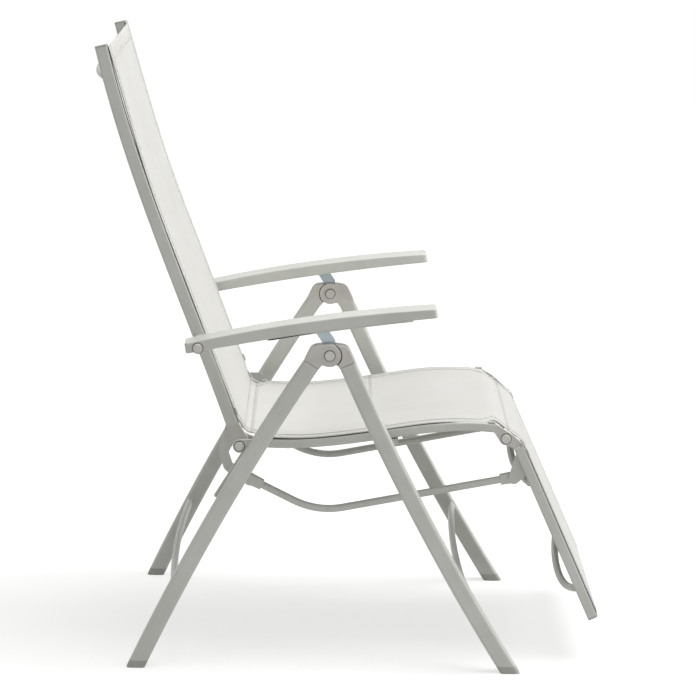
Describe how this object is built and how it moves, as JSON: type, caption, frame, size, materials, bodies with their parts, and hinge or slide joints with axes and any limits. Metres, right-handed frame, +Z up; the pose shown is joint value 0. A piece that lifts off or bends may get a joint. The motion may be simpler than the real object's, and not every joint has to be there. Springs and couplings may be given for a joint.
{
  "type": "reclining garden armchair",
  "caption": "Folding garden armchair with a high sling back, curved seat, linked leg rest and armrests that catch on struts to set the recline",
  "frame": {"origin": "on the floor under the middle of the chair's bounding box", "axes": "+Z up, -Y is the way the sitter faces, +X is the sitter's left, X = 0 is the plane of symmetry"},
  "size_m": [0.6252, 0.9014, 1.079],
  "materials": {
    "frame_paint": "satin",
    "hub_cast": "satin",
    "bright_steel": "brushed",
    "sling_cloth": "woven",
    "cap_plastic": "matte",
    "dark_plastic": "matte"
  },
  "bodies": {
    "rear_legs": {"rear_leg_left": "frame_paint", "rear_leg_right": "frame_paint", "rear_hub_left": "hub_cast", "rear_hub_right": "hub_cast", "catch_strut_left": "bright_steel", "catch_strut_right": "bright_steel", "hinge_bracket_left": "frame_paint", "hinge_bracket_right": "frame_paint", "rear_foot_caps": "cap_plastic", "rear_leg_bar": "frame_paint", "hub_bolts": "bright_steel", "catch_pins": "bright_steel"},
    "front_legs": {"front_leg_left": "frame_paint", "front_leg_right": "frame_paint", "front_hub_left": "hub_cast", "front_hub_right": "hub_cast", "front_foot_caps": "cap_plastic", "front_leg_bar": "frame_paint", "seat_rest_pins": "frame_paint"},
    "seat": {"seat_rail_left": "frame_paint", "seat_rail_right": "frame_paint", "seat_rear_fitting_left": "hub_cast", "seat_rear_fitting_right": "hub_cast", "seat_front_fitting_left": "hub_cast", "seat_front_fitting_right": "hub_cast", "seat_saddles": "hub_cast", "seat_rear_bar": "frame_paint", "seat_front_bar": "frame_paint", "seat_sling": "sling_cloth"},
    "hinge_pins": {"back_hinge_pins": "bright_steel"},
    "back": {"back_rail_left": "frame_paint", "back_rail_right": "frame_paint", "back_fitting_left": "hub_cast", "back_fitting_right": "hub_cast", "crank_left": "frame_paint", "crank_right": "frame_paint", "back_end_caps": "cap_plastic", "back_top_bow": "frame_paint", "back_lower_bar": "frame_paint", "back_sling": "sling_cloth"},
    "knee_hinge_pins": {"knee_pins": "bright_steel"},
    "legrest": {"legrest_rail_left": "frame_paint", "legrest_rail_right": "frame_paint", "legrest_fitting_left": "hub_cast", "legrest_fitting_right": "hub_cast", "rod_lugs": "frame_paint", "legrest_end_caps": "cap_plastic", "legrest_upper_bow": "frame_paint", "legrest_lower_bow": "frame_paint", "legrest_sling": "sling_cloth"},
    "rod_pins": {"crank_pins": "bright_steel"},
    "link_rods": {"link_rod_left": "frame_paint", "link_rod_right": "frame_paint"},
    "arm_bolt_pair": {"arm_bolts": "bright_steel"},
    "arm_bush_pair": {"arm_bushes": "dark_plastic"},
    "arm_left": {"armrest_left": "frame_paint", "toothed_bar_left": "dark_plastic"},
    "arm_right": {"armrest_right": "frame_paint", "toothed_bar_right": "dark_plastic"}
  },
  "joints": [
    {"name": "leg_fold", "type": "hinge", "parent": "rear_legs", "child": "front_legs", "pos_m": [0, 0.03075, 0.561], "axis": [1, 0, 0], "range_deg": [0, 52]},
    {"name": "hinge_pin_turn", "type": "hinge", "parent": "rear_legs", "child": "hinge_pins", "pos_m": [0, 0.18375, 0.394], "axis": [-1, 0, 0], "range_deg": [-13.2, 0]},
    {"name": "seat_lift", "type": "hinge", "parent": "rear_legs", "child": "seat", "pos_m": [0, 0.18375, 0.394], "axis": [-1, 0, 0], "range_deg": [0, 46.8]},
    {"name": "recline", "type": "hinge", "parent": "hinge_pins", "child": "back", "pos_m": [0, 0.18375, 0.394], "axis": [-1, 0, 0], "range_deg": [-8, 50]},
    {"name": "knee_pin_turn", "type": "hinge", "parent": "seat", "child": "knee_hinge_pins", "pos_m": [0, -0.27925, 0.405], "axis": [-1, 0, 0], "range_deg": [-60, 0]},
    {"name": "legrest_swing", "type": "hinge", "parent": "knee_hinge_pins", "child": "legrest", "pos_m": [0, -0.27925, 0.405], "axis": [-1, 0, 0], "range_deg": [-8, 50]},
    {"name": "rod_pin_turn", "type": "hinge", "parent": "back", "child": "rod_pins", "pos_m": [0, 0.16675, 0.318], "axis": [-1, 0, 0], "range_deg": [0, 60]},
    {"name": "rod_swing", "type": "hinge", "parent": "rod_pins", "child": "link_rods", "pos_m": [0, 0.16675, 0.318], "axis": [-1, 0, 0], "range_deg": [-50, 8]},
    {"name": "arm_bolt_turn", "type": "hinge", "parent": "back", "child": "arm_bolt_pair", "pos_m": [0, 0.25635, 0.5703], "axis": [-1, 0, 0], "range_deg": [0, 100.2]},
    {"name": "arm_bush_turn", "type": "hinge", "parent": "arm_bolt_pair", "child": "arm_bush_pair", "pos_m": [0, 0.25635, 0.5703], "axis": [-1, 0, 0], "range_deg": [-33, 5.28]},
    {"name": "armrest_lift_left", "type": "hinge", "parent": "arm_bush_pair", "child": "arm_left", "pos_m": [0, 0.25635, 0.5703], "axis": [-1, 0, 0], "range_deg": [-0.7, 20]},
    {"name": "armrest_lift_right", "type": "hinge", "parent": "arm_bush_pair", "child": "arm_right", "pos_m": [0, 0.25635, 0.5703], "axis": [-1, 0, 0], "range_deg": [-0.7, 20]}
  ],
  "couplings": [
    {"joint": "hinge_pin_turn", "follows": "leg_fold", "ratio": -0.25385},
    {"joint": "seat_lift", "follows": "leg_fold", "ratio": 0.9},
    {"joint": "knee_pin_turn", "follows": "leg_fold", "ratio": -1.1538},
    {"joint": "rod_pin_turn", "follows": "leg_fold", "ratio": 1.1538},
    {"joint": "arm_bolt_turn", "follows": "leg_fold", "ratio": 1.9269},
    {"joint": "legrest_swing", "follows": "recline", "ratio": 1},
    {"joint": "rod_swing", "follows": "recline", "ratio": -1},
    {"joint": "arm_bush_turn", "follows": "recline", "ratio": -0.66}
  ]
}
